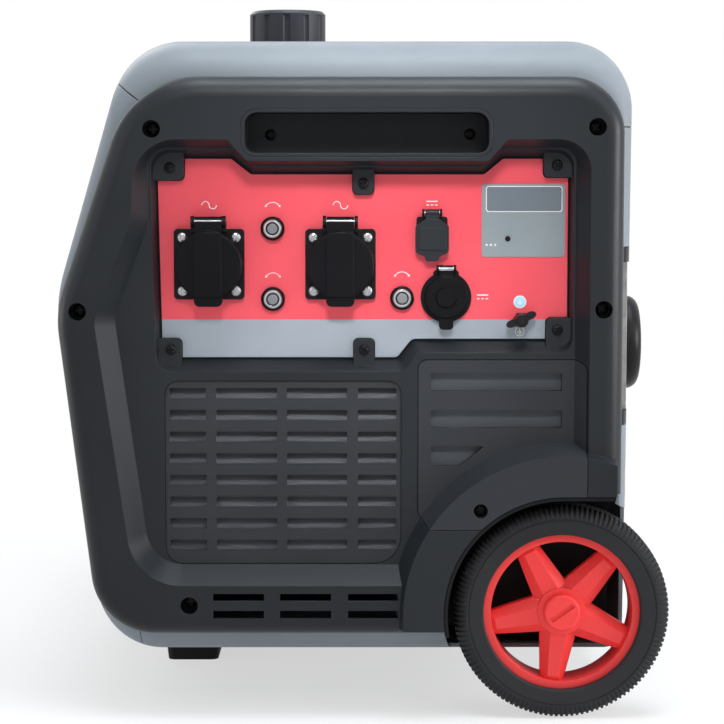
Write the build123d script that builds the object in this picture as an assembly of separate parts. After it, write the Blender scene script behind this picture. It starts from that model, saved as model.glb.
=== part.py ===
from build123d import *
import math
import os

os.makedirs("parts", exist_ok=True)

# Driving dimensions in millimetres
# X runs across the control face, Y from front to back, Z up from the floor
FACE_Y = 280.0          # front face of the black covers
COVER_EDGE_Y = 256.0    # seam between a black cover and the grey case
FIELD_Y = 264.0         # sunk field that carries the grille and the door
PANEL_Y = 252.0         # seat of the control panel
FENDER_Y = 288.0        # proud face of the wheel fender
SHELL_Y = 205.0         # the grey case has its full section up to here
WALL = 3.0
SEAM = 0.4
CASE_SEAM = 0.7

WHEEL_X = 142.6
WHEEL_R = 77.0
RIM_R = 56.0
TYRE_FRONT_Y = 276.0
TYRE_WIDTH = 38.0
WELL_R = 85.0
WELL_Y = 228.0
AXLE_R = 7.0
FLARE_R = 121.0
FENDER_R = 113.5
RUNNING_FIT = 0.05

SEAM_TOP_LEFT = [(-113.0, 406.0), (-240.0, 503.5)]    # slants outwards across the upper left corner
SEAM_LEFT_X = -60.0
SEAM_TOP_RIGHT_Z = 422.0
SEAM_TOP_RIGHT_X = 60.0
SEAM_BASE_LEFT_X = -160.0
SEAM_BASE_RIGHT_X = 150.0
CASE_TOP_Z = 484.5
CASE_WAIST_Z = 200.0
CASE_BOTTOM_Z = 38.5
BASE_STEP = (-36.0, 58.0)
ENGINE_FLOOR_Z = CASE_BOTTOM_Z + 2 * WALL

# Planes and spans that reach past the whole machine, for cuts that go right through
AHEAD = -300.0
DEEP = -200.0
ABOVE = 600.0
FAR = 400.0

# Outlines run clockwise as (x, z, corner radius).
COVER = [(-160.9, 456.5, 65), (184.5, 456.5, 40), (184.5, 60.8, 10), (-188.3, 60.8, 46), (-216.8, 291.6, 75)]
CASE = [(-169.8, CASE_TOP_Z, 52), (196, CASE_TOP_Z, 46), (192, CASE_BOTTOM_Z, 14),
        (-184.5, CASE_BOTTOM_Z, 45), (-221.9, 300, 110)]
FIELD_MOUTH = [(-158, 412.5, 30), (-94.5, 412.5, 5), (-80.5, 397.5, 5), (88.5, 397.5, 5), (102, 412.5, 5),
               (160, 412.5, 22), (160, 97.3, 8), (-161.2, 97.3, 38), (-188.5, 287, 30), (-161.5, 357, 40)]
FIELD_FLOOR = [(-151, 407, 13), (-90.5, 407, 4), (-76.5, 394.5, 4), (84.5, 394.5, 4), (98, 407, 4),
               (151, 407, 11), (151, 109.8, 6), (-151, 109.8, 27), (-175.5, 286, 22), (-151.5, 352, 35)]
PANEL_MOUTH = [(-149.5, 405.8, 14), (-89.5, 405.8, 4), (-75.5, 393.3, 4), (83.5, 393.3, 4), (97, 405.8, 4),
               (149.5, 405.8, 12), (149.5, 262, 10), (40, 262, 6), (29.5, 248.5, 6), (-146, 248.5, 10)]
PANEL_SEAT = [(-146, 400, 12), (-92.5, 400, 3), (-78.5, 389, 3), (86.5, 389, 3), (99.8, 400, 3),
              (147, 400, 11), (147, 270.5, 8), (36, 270.5, 5), (25.5, 257.3, 5), (-143, 257.3, 8)]
GRIP = [(-82, 431.3, 9), (88.7, 431.3, 9), (88.7, 403, 8), (-82, 403, 8)]
GRIP_RIB_X = (-86.0, 92.7)    # rib behind each cover, over the grip cup, that carries the lift
GRIP_RIB_Z = 436.0
GRIP_RIB_Y = 247.5
FRONT_GRILLE = [(-140.5, 242, 10), (28, 242, 10), (28, 110.2, 20), (-140.5, 110.2, 12)]
DOOR = [(39.8, 257, 6.5), (158.7, 257, 8), (158.7, 138.5, 0), (47.2, 138.5, 0), (39.8, 147, 0)]
COVER_HOLES = [(-146.9, 419.7), (164.2, 421.1), (-199.9, 292.1), (169.7, 293.5), (-122.8, 83.0)]
# Lobes over the edge of the panel: screw x and z, then left, right, low and high
PANEL_TABS = [(-136, 393, -160, -126, 384, 415), (138, 395, 128.5, 160, 386, 415),
              (-136, 264, -160, -128.5, 240, 271.5), (139, 278, 131, 160, 260, 286.5),
              (1, 382, -6.5, 8.5, 374, 400), (1.5, 264, -6, 9, 240, 271.5)]
DOOR_SCREW = (83.6, 152.1)
GRIP_SCREWS = [(-65.2, 416.2), (77.0, 416.8)]
EDGE_ROUND = 14.0

# Slots and louvres: columns as (left, right), rows by their top edge
SLOT_COLUMNS = [(-137.1, -111.1), (-104.0, -60.6), (-53.5, -10.7), (-2.9, 24.4)]
SLOT_TOP_Z = 236.7
SLOT_PITCH = 15.6
SLOT_HEIGHT = 7.3
BLADE_SLOPE = 50.0
FRONT_ROWS = 8
REAR_GRILLE = [(-140.5, 372, 10), (28, 372, 10), (28, 110.2, 20), (-140.5, 110.2, 12)]
REAR_SLOT_TOP_Z = 361.5
REAR_ROWS = 16
VENT_COLUMNS = [(-105.7, -69.6), (-58.2, -22.0), (-9.9, 25.6)]
VENT_ROWS = [(86.6, 91.6), (73.9, 79.4)]
DOOR_SLOTS = [[(49.0, top, 1), (142.2, top, 1), (142.2, top - 12.7, 1), (49.0, top - 12.7, 1)]
              for top in (247.4, 220.7)]
DOOR_SHORT_SLOT = [(49.0, 195.3, 1), (87.7, 195.3, 1), (69.9, 181.0, 1), (49.0, 181.0, 1)]

# Control panel items as (x, z) of their centres.
SOCKETS = {"left": (-108.6, 324.6), "right": (-15.3, 324.6)}
BREAKERS = {"left": (-63.5, 349.9), "centre": (-63.4, 299.8), "dc": (28.5, 300.5)}
USB = (49.7, 345.3)
DC = (59.8, 301.2)
EARTH = (113.3, 284.8)
WING_TILT = 24.0
PLATE_T = 2.0
PLATE_Y = PANEL_Y + PLATE_T
SOCKET_PIN_Y = -263.5
SOCKET_PIN_DZ = 30.5
SOCKET_PIN_R = 1.6
SOCKET_EAR_X = 10.0
SOCKET_EAR_T = 2.4
SMALL_PIN_R = 1.2
SMALL_EAR_X = 5.4
SMALL_EAR_T = 1.6
USB_PIN = (-259.5, USB[1] + 16)
DC_PIN = (-260.0, DC[1] + 20.5)
# Outline of the charging cover about its centre, shouldered above and with a thumb tab below
USB_LID = [(-11.8, 6.5, 2), (-5, 11.4, 1), (5, 11.4, 1), (11.8, 6.5, 2), (11.8, -12.5, 3), (5.2, -15, 1),
           (4.6, -18.5, 2), (-4.6, -18.5, 2), (-5.2, -15, 1), (-11.8, -12.5, 3)]

# Fuel filler, exhaust, pull handle and engine
FILLER_X = -61.0
NECK_R = 22.0
CAP_R = 31.0
CAP_TOP_Z = 520.5
PAD_T = 2.0
PAD_LEFT_X = -148.5
PAD_RIGHT_X = 28.0
EXHAUST_Y = -115.0
EXHAUST_Z = 258.0
EXHAUST_R = 36.0
EXHAUST_TIP_X = 214.0
EXHAUST_FRAME = (209.5, 336.5)
EXHAUST_WINDOW = (219.0, 326.0)
EXHAUST_BACK_Y = -40.0
SHIELD_X = 191.0
SHIELD_FRONT_Y = -238.0
SHIELD_LIP_X = 184.5
HANDLE_X = -206.0
HANDLE_Z = 325.0
HANDLE_ARM_Y = 122.0
HANDLE_BAR_Z = 165.0
CRANK_X = -10.0
CRANK_Z = 190.0
CRANK_R = 12.0
RECOIL_X = 85.0
RECOIL_Z = 300.0
FOOT_X = -135.5
FOOT_Y = 61.0
SPOKE_ANGLES = (119, 47, -25, -97, -169)


def corners(points, grow):
    """Corners of a clockwise outline with each edge moved outwards by grow."""
    moved = []
    for i, (x, z, radius) in enumerate(points):
        before = points[i - 1]
        after = points[(i + 1) % len(points)]
        arrive = Vector(x - before[0], z - before[1]).normalized()
        leave = Vector(after[0] - x, after[1] - z).normalized()
        side_a = Vector(-arrive.Y, arrive.X)
        side_b = Vector(-leave.Y, leave.X)
        step = (side_a + side_b) * (grow / (1 + side_a.dot(side_b)))
        convex = arrive.cross(leave).Z < 0
        rounded = max(radius + (grow if convex else -grow), 0.5) if radius else 0
        moved.append((x + step.X, z + step.Y, rounded))
    return moved


def outline(points, grow=0.0):
    """Face in the X-Z plane inside an outline."""
    moved = corners(points, grow)
    path = FilletPolyline(*[(x, z) for x, z, _ in moved], radius=[r for _, _, r in moved], close=True)
    return Plane.XZ * make_face(path)


def prism(face, front, back):
    """Solid over an X-Z face from Y = front to Y = back."""
    return extrude(Pos(0, back, 0) * face, amount=back - front, dir=(0, -1, 0))


def between(front_face, front, back_face, back):
    """Straight-sided solid between two X-Z faces."""
    return loft([Pos(0, front, 0) * front_face, Pos(0, back, 0) * back_face], ruled=True)


def rod(x, z, radius, front, back):
    """Cylinder along Y."""
    return Pos(x, (front + back) / 2, z) * Rot(90, 0, 0) * Cylinder(radius, back - front)


def cone(x, z, front_radius, back_radius, front, back):
    """Truncated cone along Y."""
    return Pos(x, (front + back) / 2, z) * Rot(90, 0, 0) * Cone(back_radius, front_radius, back - front)


def post(x, y, radius, low, high):
    """Cylinder along Z."""
    return Pos(x, y, (low + high) / 2) * Cylinder(radius, high - low)


def bar(y, z, radius, left, right):
    """Cylinder along X."""
    return Pos((left + right) / 2, y, z) * Rot(0, 90, 0) * Cylinder(radius, right - left)


def block(x0, x1, y0, y1, z0, z1):
    """Box between two corners."""
    return Pos((x0 + x1) / 2, (y0 + y1) / 2, (z0 + z1) / 2) * Box(x1 - x0, y1 - y0, z1 - z0)


def plate(x, z, width, height, radius, front, back):
    """Rounded rectangular plate that faces the front."""
    return prism(Plane.XZ * Pos(x, z) * RectangleRounded(width, height, radius), front, back)


def rear(solid):
    """The same piece on the rear side."""
    return mirror(solid, about=Plane.XZ)


def save(name, *solids):
    """Write one node, from one solid or a group of separate solids."""
    whole = solids[0] if len(solids) == 1 else Compound(children=list(solids))
    whole.label = name
    export_step(whole, f"parts/{name}.step")


# Wheel well: a round arch that runs on level to the right-hand edge
def well_face(grow, straight):
    round_part = Plane.XZ * Pos(WHEEL_X, WHEEL_R) * Circle(WELL_R + grow)
    if not straight:
        return round_part
    width = 120
    height = 2 * WELL_R
    level = WHEEL_R + WELL_R + grow
    return round_part + Plane.XZ * Pos(WHEEL_X + width / 2, level - height / 2) * Rectangle(width, height)


def wheel_well():
    wall = prism(well_face(-SEAM, True) - well_face(-SEAM - 2.5, True), -FENDER_Y + 1, -WELL_Y)
    back = prism(well_face(-SEAM, True), -WELL_Y - 2.5, -WELL_Y)
    inside_case = block(0, 179, AHEAD, 0, COVER[2][1] + 1, 300)
    return (wall + back) & inside_case - rod(WHEEL_X, WHEEL_R, AXLE_R + 2, AHEAD, 0)


# Grey case: full section in the middle, rounding in to the cover outline at both ends
def case_body(grow):
    def blended(share):
        return [(c[0] + (k[0] - c[0]) * share, c[1] + (k[1] - c[1]) * share, c[2] + (k[2] - c[2]) * share)
                for c, k in zip(CASE, COVER)]
    sections = []
    for depth in (1.0, 0.92, 0.7, 0.0):
        share = 1 - math.sqrt(1 - depth * depth)
        y = SHELL_Y + (COVER_EDGE_Y - SHELL_Y) * depth
        sections.append(Pos(0, -y, 0) * outline(blended(share), grow))
    front_end = loft(sections)
    middle = prism(outline(CASE, grow), -SHELL_Y, SHELL_Y)
    return front_end + middle + rear(front_end)


def case_ring():
    ring = case_body(0) - case_body(-WALL)
    wells = prism(well_face(0.2, False), AHEAD, -WELL_Y)
    return ring - wells - rear(wells)


ring = case_ring()
case_solid = case_body(0)
TOP_ZONE = [(*SEAM_TOP_LEFT[0], 0), (*SEAM_TOP_LEFT[1], 0), (SEAM_TOP_LEFT[1][0], ABOVE, 0), (FAR, ABOVE, 0),
            (FAR, SEAM_TOP_RIGHT_Z, 0), (SEAM_TOP_RIGHT_X, SEAM_TOP_RIGHT_Z, 0)]
top_zone = prism(outline(TOP_ZONE), -FAR, FAR)
below_top = ring - prism(outline(TOP_ZONE, CASE_SEAM), -FAR, FAR)


# Top cover with the filler hole
def top_cover():
    return (ring & top_zone) - post(FILLER_X, 0, NECK_R + 2.5, 400, ABOVE)


# Left end cover: sunk bay for the pull handle, its pivot pins, and air slots above
def left_end_cover():
    lower = block(-FAR, SEAM_BASE_LEFT_X - SEAM / 2, -FAR, FAR, 0, CASE_WAIST_Z)
    upper = block(-FAR, SEAM_LEFT_X, -FAR, FAR, CASE_WAIST_Z, FAR * 2)
    cover = below_top & (lower + upper)
    bay = block(-FAR, -192, -140, 140, 125, 345)
    bay_walls = (case_solid & block(-FAR, -189, -143, 143, 122, 348)) - bay
    cover = cover - bay + bay_walls
    for side in (-1, 1):
        near = side * 113
        far = side * 141
        cover += rod(HANDLE_X, HANDLE_Z, 5, min(near, far), max(near, far))
    for row in range(4):
        low = 365 + 15 * row
        cover -= block(-240, -150, -95, 95, low, low + 6.5)
    return cover


# Right end cover: exhaust window that runs on under the front cover, warm-air slots towards the back
def right_end_cover():
    cover = below_top & block(SEAM_BASE_RIGHT_X + SEAM / 2, FAR, -FAR, FAR, 0, FAR * 2)
    low, high = EXHAUST_FRAME
    cover -= block(150, FAR, -FAR, EXHAUST_BACK_Y + SEAM, low - SEAM, high + SEAM)
    for row in range(9):
        low = 190 + 16 * row
        cover -= block(170, 260, 50, 170, low, low + 7.5)
    return cover


# Base tray: cross ribs clear of the wheel wells, a raised step under the engine and its floor
def base_tray():
    left = SEAM_BASE_LEFT_X + SEAM / 2
    right = SEAM_BASE_RIGHT_X - SEAM / 2
    tray = below_top & block(left, right, -FAR, FAR, 0, CASE_WAIST_Z)
    floor_z = CASE_BOTTOM_Z + WALL
    left, right = BASE_STEP
    tray -= block(left, right, -FAR, FAR, 0, floor_z)
    tray += case_solid & block(-80, right + WALL, -FAR, FAR, floor_z, ENGINE_FLOOR_Z)
    for y in (-150, -20, 20, 150):
        tray += block(-155, 110, y - 1.5, y + 1.5, floor_z - 1, floor_z + 10)
    return tray


# Black covers
def pocket(mouth, mouth_y, floor, floor_y, grow=0.0):
    """Sunk shape from its mouth, nearer the front, to its floor."""
    return between(outline(mouth, grow), -mouth_y, outline(floor, grow), -floor_y)


def rounded_front(points, grow, front, back, radius):
    """Prism whose front edge is rounded over."""
    solid = prism(outline(points, grow), front, back)
    return fillet(solid.faces().sort_by(Axis.Y)[0].edges(), radius)


def moulded_cover():
    """Hollow cover with its sunk field, wheel fender, grip window, vents and screw wells."""
    shell = rounded_front(COVER, 0, -FACE_Y, -COVER_EDGE_Y - SEAM, EDGE_ROUND)
    hollow = rounded_front(COVER, -WALL, -FACE_Y + WALL, -COVER_EDGE_Y, EDGE_ROUND - WALL)
    cover = shell - hollow
    cover += pocket(FIELD_MOUTH, FACE_Y, FIELD_FLOOR, FIELD_Y - WALL, WALL + 0.5)
    cover -= pocket(FIELD_MOUTH, FACE_Y, FIELD_FLOOR, FIELD_Y)
    flare = cone(WHEEL_X, WHEEL_R, FENDER_R, FLARE_R, -FENDER_Y, -FIELD_Y)
    flare &= prism(outline(COVER, -5), AHEAD, 0)
    flare_hollow = cone(WHEEL_X, WHEEL_R, FENDER_R - WALL, FLARE_R - WALL, -FENDER_Y + WALL, -FIELD_Y)
    flare_hollow &= prism(outline(COVER, -5 - WALL), AHEAD, 0)
    cover = cover - flare + (flare - flare_hollow)
    for x, z in COVER_HOLES:
        cover += rod(x, z, 9, -FACE_Y + 1, -FACE_Y + 21) & shell
    for x, z in COVER_HOLES:
        cover -= rod(x, z, 6.2, AHEAD, -FACE_Y + 17)
        cover -= rod(x, z, 2.6, AHEAD, -240)
    for left, right in VENT_COLUMNS:
        for low, high in VENT_ROWS:
            cover -= block(left, right, AHEAD, -FACE_Y + 8, low, high)
    cover += block(*GRIP_RIB_X, -FACE_Y + 1, -GRIP_RIB_Y, GRIP_RIB_Z, GRIP_RIB_Z + WALL)
    cover -= prism(outline(GRIP, 2.7), AHEAD, -230)
    cover -= prism(well_face(0, True), AHEAD, DEEP)
    return cover


def louvre_panel(points, top, rows, fit):
    """Slotted plate with a retaining flange and a sloping blade behind each row of slots."""
    front = -FIELD_Y + 1.5
    back = front + 4
    panel = prism(outline(points, fit), front, back) + prism(outline(points, 3.5), back - 2.2, back)
    left = SLOT_COLUMNS[0][0]
    right = SLOT_COLUMNS[-1][1]
    for row in range(rows):
        high = top - SLOT_PITCH * row
        for column_left, column_right in SLOT_COLUMNS:
            panel -= block(column_left, column_right, front - 1, back + 1, high - SLOT_HEIGHT, high)
    for row in range(rows):
        high = top - SLOT_PITCH * row
        blade = Box(right - left, 12, 1.8)
        panel += Pos((left + right) / 2, back + 3.5, high - SLOT_HEIGHT / 2) * Rot(BLADE_SLOPE, 0, 0) * blade
    return panel


def tab(left, right, low, high, grow=0.0):
    """Screw lobe that stands on the wall of the panel recess."""
    width = right - left + 2 * grow
    height = high - low + 2 * grow
    return plate((left + right) / 2, (low + high) / 2, width, height, 4, -PANEL_Y - 7, -PANEL_Y + WALL)


front_base = moulded_cover()
recess = pocket(PANEL_MOUTH, FIELD_Y, PANEL_SEAT, PANEL_Y)
recess_wall = pocket(PANEL_MOUTH, FIELD_Y, PANEL_SEAT, PANEL_Y - WALL, WALL)
front_skin = front_base + recess_wall - recess - prism(outline(PANEL_SEAT, -9), AHEAD, DEEP)
for x, z, *edges in PANEL_TABS:
    front_skin += tab(*edges) & recess_wall
for x, z, *edges in PANEL_TABS:
    front_skin -= rod(x, z, 2.1, AHEAD, DEEP)
front_skin -= prism(outline(FRONT_GRILLE), AHEAD, -250)
front_skin -= prism(outline(GRIP, 2.7), AHEAD, -230)


def maintenance_door():
    """Door cut from the same moulding, with sunk slots and a screw well."""
    door = front_skin & prism(outline(DOOR, -0.3), AHEAD, -240)
    for slot in (*DOOR_SLOTS, DOOR_SHORT_SLOT):
        door += prism(outline(slot, 2), -FIELD_Y + 1, -FIELD_Y + 9)
        door -= prism(outline(slot), AHEAD, -FIELD_Y + 7)
    x, z = DOOR_SCREW
    door += rod(x, z, 7.5, -FENDER_Y + 1, -FENDER_Y + 14)
    door -= rod(x, z, 5, AHEAD, -FENDER_Y + 10)
    door -= rod(x, z, 2.1, AHEAD, -240)
    return door


def rear_cover():
    """Rear moulding with its louvres formed in one piece and a hole for the starter rope."""
    cover = front_base - prism(outline(REAR_GRILLE), AHEAD, -250)
    cover += louvre_panel(REAR_GRILLE, REAR_SLOT_TOP_Z, REAR_ROWS, WALL)
    cover -= rod(RECOIL_X, RECOIL_Z, 8, AHEAD, DEEP)
    return rear(cover)


def grip_cup():
    return prism(outline(GRIP, 2.5), -FACE_Y, -238) - prism(outline(GRIP), AHEAD, -240.5)


def screw(x, z, head_r, front, shank_r, length):
    """Pan head with a short shank behind it."""
    head = rod(x, z, head_r, front, front + 4)
    return head + rod(x, z, shank_r, front + 4, front + 4 + length)


# Control panel and what is fixed to it
def control_panel():
    panel = prism(outline(PANEL_SEAT, -0.8), -PLATE_Y, -PANEL_Y)
    panel &= pocket(PANEL_MOUTH, FIELD_Y, PANEL_SEAT, PANEL_Y, -SEAM)
    for x, z, *edges in PANEL_TABS:
        panel -= tab(*edges, grow=SEAM)
    for x, z in SOCKETS.values():
        panel -= rod(x, z, 22.4, AHEAD, DEEP)
    for x, z in BREAKERS.values():
        panel -= rod(x, z, 5.6, AHEAD, DEEP)
    panel -= block(USB[0] - 9.4, USB[0] + 9.4, AHEAD, DEEP, USB[1] - 11.4, USB[1] + 11.4)
    panel -= rod(*DC, 14.4, AHEAD, DEEP)
    panel -= rod(*EARTH, 3.4, AHEAD, DEEP)
    return panel


def eye(y, z, radius, left, right, root_y, root_z, pin_r):
    """Hinge ear: a lug from its root up to an eye round the pin."""
    lug = block(left, right, y, root_y, root_z, z) + bar(y, z, radius, left, right)
    return lug - bar(y, z, pin_r, left - 1, right + 1)


def socket(x, z):
    body = plate(x, z, 50, 50, 3, -PLATE_Y - 4, -PLATE_Y)
    body += rod(x, z, 22.5, -PLATE_Y - 10, -PLATE_Y) + rod(x, z, 22, -PLATE_Y, -236)
    body -= rod(x, z, 19.5, AHEAD, -239.5)
    for side in (-1, 1):
        body -= rod(x + side * 9.5, z, 2.5, -245, -230)
        ears = sorted((x + side * SOCKET_EAR_X, x + side * (SOCKET_EAR_X + SOCKET_EAR_T)))
        body += eye(SOCKET_PIN_Y, z + SOCKET_PIN_DZ, 4, *ears, -PLATE_Y, z + 23, SOCKET_PIN_R)
    return body


def socket_pin(x, z):
    half = SOCKET_EAR_X + SOCKET_EAR_T
    return bar(SOCKET_PIN_Y, z + SOCKET_PIN_DZ, SOCKET_PIN_R, x - half, x + half)


def socket_lid(x, z):
    disc = rod(x, z, 24, -270.5, -265)
    disc = fillet(disc.faces().sort_by(Axis.Y)[0].edges(), 2)
    lid = disc + plate(x, z, 19, 45, 2, -272.5, -268) + plate(x, z - 24, 20, 11, 4, -271, -266)
    half = SOCKET_EAR_X - SEAM
    lid += block(x - half, x + half, -268.5, -264.8, z + 16, z + SOCKET_PIN_DZ)
    lid += bar(SOCKET_PIN_Y, z + SOCKET_PIN_DZ, 3.4, x - half, x + half)
    return lid - bar(SOCKET_PIN_Y, z + SOCKET_PIN_DZ, SOCKET_PIN_R + RUNNING_FIT, x - half - 1, x + half + 1)


def breaker_bezel(x, z):
    collar = rod(x, z, 8.5, -PLATE_Y - 4.5, -PLATE_Y)
    collar = chamfer(collar.faces().sort_by(Axis.Y)[0].edges(), 1.2)
    return collar + rod(x, z, 5.4, -PLATE_Y, -233) - rod(x, z, 4.1, AHEAD, -236)


def breaker_button(x, z):
    button = rod(x, z, 3.8, -PLATE_Y - 8, -242)
    return fillet(button.faces().sort_by(Axis.Y)[0].edges(), 0.8)


def small_ears(x, pin, root_z):
    ears = []
    for side in (-1, 1):
        left, right = sorted((x + side * SMALL_EAR_X, x + side * (SMALL_EAR_X + SMALL_EAR_T)))
        ears.append(eye(pin[0], pin[1], 2.6, left, right, -PLATE_Y, root_z, SMALL_PIN_R))
    return ears[0] + ears[1]


def small_barrel(x, pin, lid):
    """Add a hinge barrel and its neck to a small lid."""
    y, z = pin
    lid += block(x - 4.6, x + 4.6, y - 1.6, y + 1.2, z - 8, z)
    lid += bar(y, z, 2.3, x - 5, x + 5)
    return lid - bar(y, z, SMALL_PIN_R + RUNNING_FIT, x - 6, x + 6)


def usb_socket():
    x, z = USB
    body = plate(x, z, 22, 26, 2, -PLATE_Y - 3, -PLATE_Y)
    body += block(x - 9, x + 9, -PLATE_Y, -238, z - 11, z + 11)
    for dz in (-5, 5):
        body -= block(x - 6.6, x + 6.6, AHEAD, -243, z + dz - 2.9, z + dz + 2.9)
    return body + small_ears(x, USB_PIN, z + 12)


def usb_cover():
    x, z = USB
    lid = prism(outline([(x + dx, z + dz, r) for dx, dz, r in USB_LID]), -261.5, -257.6)
    lid += plate(x, z - 2.5, 19, 16, 2, -262.3, -260)
    return small_barrel(x, USB_PIN, lid)


def dc_socket():
    x, z = DC
    body = rod(x, z, 18, -PLATE_Y - 3, -PLATE_Y) + plate(x, z + 13, 18, 12, 2, -PLATE_Y - 3, -PLATE_Y)
    body += rod(x, z, 14, -PLATE_Y, -212) + small_ears(x, DC_PIN, z + 17)
    return body - rod(x, z, 10.5, AHEAD, -216)


def dc_cover():
    x, z = DC
    disc = rod(x, z, 15.5, -263, -257.8)
    disc = chamfer(disc.faces().sort_by(Axis.Y)[0].edges(), 1.2)
    boss = cone(x, z, 6.8, 8, -264.4, -262.5)
    lid = disc + boss + rod(x, z, 9.6, -258, -254) + plate(x, z - 18, 10.2, 10, 3, -262, -258.5)
    return small_barrel(x, DC_PIN, lid)


def earth_stud():
    x, z = EARTH
    nut = prism(Plane.XZ * Pos(x, z) * RegularPolygon(5.8, 6), -PLATE_Y - 4, -PLATE_Y)
    return nut + rod(x, z, 3, -268, -245)


def earth_wing_nut():
    x, z = EARTH
    nut = cone(0, 0, 4.4, 5.4, -266.5, -PLATE_Y - 4.4)
    for side in (-1, 1):
        nut += prism(Plane.XZ * Pos(side * 6.8, 1) * Ellipse(4.6, 2.7), -265.5, -262.5)
    nut -= rod(0, 0, 3 + RUNNING_FIT, AHEAD, DEEP)
    return Pos(x, 0, z) * Rot(0, -WING_TILT, 0) * nut


# Fuel filler
def filler_surround():
    """Thin plate that follows the top of the case round the filler neck."""
    footprint = RectangleRounded(PAD_RIGHT_X - PAD_LEFT_X, 150, 40)
    footprint = Pos((PAD_LEFT_X + PAD_RIGHT_X) / 2, 0, 0) * extrude(footprint, amount=ABOVE)
    skin = prism(outline(CASE, PAD_T), DEEP, -DEEP) - prism(outline(CASE), DEEP, -DEEP)
    pad = skin & footprint & block(-FAR, FAR, -FAR, FAR, HANDLE_Z, ABOVE)
    return pad - post(FILLER_X, 0, NECK_R + 2.5, 0, ABOVE)


def fuel_tank():
    tank = block(-150, 50, -140, 140, 405, 470)
    tank = fillet(tank.edges().filter_by(Axis.Z), 30)
    tank = fillet(tank.faces().sort_by(Axis.Z)[-1].edges(), 12)
    tank += post(FILLER_X, 0, NECK_R, 460, 504)
    return tank - post(FILLER_X, 0, NECK_R - 3.5, 440, ABOVE)


def fuel_cap():
    low = CASE_TOP_Z + PAD_T + SEAM
    cap = post(FILLER_X, 0, CAP_R, low, CAP_TOP_Z)
    cap = chamfer(cap.faces().sort_by(Axis.Z)[-1].edges(), 2.5)
    flutes = 12
    for i in range(flutes):
        turn = 2 * math.pi * i / flutes
        x = FILLER_X + (CAP_R + 2) * math.cos(turn)
        y = (CAP_R + 2) * math.sin(turn)
        cap -= post(x, y, 3.6, low, CAP_TOP_Z - 4)
    return cap - post(FILLER_X, 0, NECK_R + 0.4, 0, 508)


# Exhaust on the right end
def exhaust_bezel():
    """Frame flush with the case, open at the front where the cover's edge closes it."""
    low, high = EXHAUST_FRAME
    frame = case_solid - case_body(-8)
    frame &= block(150, FAR, -COVER_EDGE_Y + SEAM, EXHAUST_BACK_Y, low, high)
    return frame - block(150, FAR, -FAR, EXHAUST_BACK_Y - 10.5, *EXHAUST_WINDOW)


def heat_shield():
    """Pressed pan round the exhaust drum, with a lip that runs in behind the front cover."""
    back = EXHAUST_BACK_Y - 10.5
    low, high = EXHAUST_WINDOW
    sheet = 1.5
    pan = block(SHIELD_X - 5, SHIELD_X, SHIELD_FRONT_Y, back, low, high)
    pan -= block(0, SHIELD_X - sheet, SHIELD_FRONT_Y + sheet, back - sheet, low + sheet, high - sheet)
    pan -= bar(EXHAUST_Y, EXHAUST_Z, EXHAUST_R + sheet, 150, 230)
    pan += block(SHIELD_LIP_X - sheet, SHIELD_X, SHIELD_FRONT_Y, SHIELD_FRONT_Y + sheet, low, high)
    lip_front = -COVER_EDGE_Y + SEAM
    return pan + block(SHIELD_LIP_X - sheet, SHIELD_LIP_X, lip_front, SHIELD_FRONT_Y + sheet, low, high)


def exhaust_outlet():
    drum = bar(EXHAUST_Y, EXHAUST_Z, EXHAUST_R, 184, EXHAUST_TIP_X)
    drum = fillet(drum.faces().sort_by(Axis.X)[-1].edges(), 9)
    for i in range(8):
        spoke = Pos(0, 22, 0) * Box(20, 14, 5)
        drum -= Pos(EXHAUST_TIP_X, EXHAUST_Y, EXHAUST_Z) * Rot(45 * i, 0, 0) * spoke
    return drum


def muffler():
    can = block(95, 184, -185, -45, 195, 318)
    return fillet(can.edges().filter_by(Axis.Y), 25)


# Wheels and axle
def spoke_section(width, along):
    """Roof-shaped spoke section at a distance from the hub."""
    half = width / 2
    flat = half * 0.45
    points = [(-half, -256), (-half, -263), (-flat, -269.5), (flat, -269.5), (half, -263), (half, -256)]
    return Pos(along, 0, 0) * make_face(Plane.YZ * Polyline(*[(y, t) for t, y in points], close=True))


def rim():
    barrel = rod(0, 0, RIM_R, -271, -242) - rod(0, 0, RIM_R - 5.5, AHEAD, DEEP)
    wheel = barrel + rod(0, 0, 17, -270.5, -240)
    spoke = loft([spoke_section(29, 6), spoke_section(16.5, RIM_R - 4.5)], ruled=True)
    spoke -= Pos(RIM_R, -271, 0) * Rot(0, 0, 35) * Box(22, 12, 40)
    for angle in SPOKE_ANGLES:
        wheel += Rot(0, -angle, 0) * spoke
    wheel -= rod(0, 0, AXLE_R + RUNNING_FIT, AHEAD, DEEP)
    return Pos(WHEEL_X, 0, WHEEL_R) * wheel


def tyre():
    ring_solid = rod(0, 0, WHEEL_R, -TYRE_FRONT_Y, -TYRE_FRONT_Y + TYRE_WIDTH)
    ring_solid = fillet(ring_solid.edges().filter_by(GeomType.CIRCLE), 9)
    ring_solid -= rod(0, 0, RIM_R, AHEAD, DEEP)
    return Pos(WHEEL_X, 0, WHEEL_R) * ring_solid


def hub_cap():
    cap = rod(WHEEL_X, WHEEL_R, 13, -277, -270.5)
    cap = fillet(cap.faces().sort_by(Axis.Y)[0].edges(), 2)
    cap -= Pos(WHEEL_X, -277, WHEEL_R) * Rot(0, -35, 0) * Box(19, 3, 3.2)
    return cap + rod(WHEEL_X, WHEEL_R, AXLE_R - 0.5, -270.5, -268)


def axle_bracket():
    upright = block(118, 148.5, -204, -198, CASE_BOTTOM_Z + WALL, 104)
    upright = fillet(upright.edges().filter_by(Axis.Y).sort_by(Axis.Z)[-2:], 12)
    foot = block(112, 148.5, -198, -176, CASE_BOTTOM_Z + WALL, CASE_BOTTOM_Z + WALL + 4)
    return upright + foot - rod(WHEEL_X, WHEEL_R, AXLE_R, AHEAD, 0)


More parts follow.
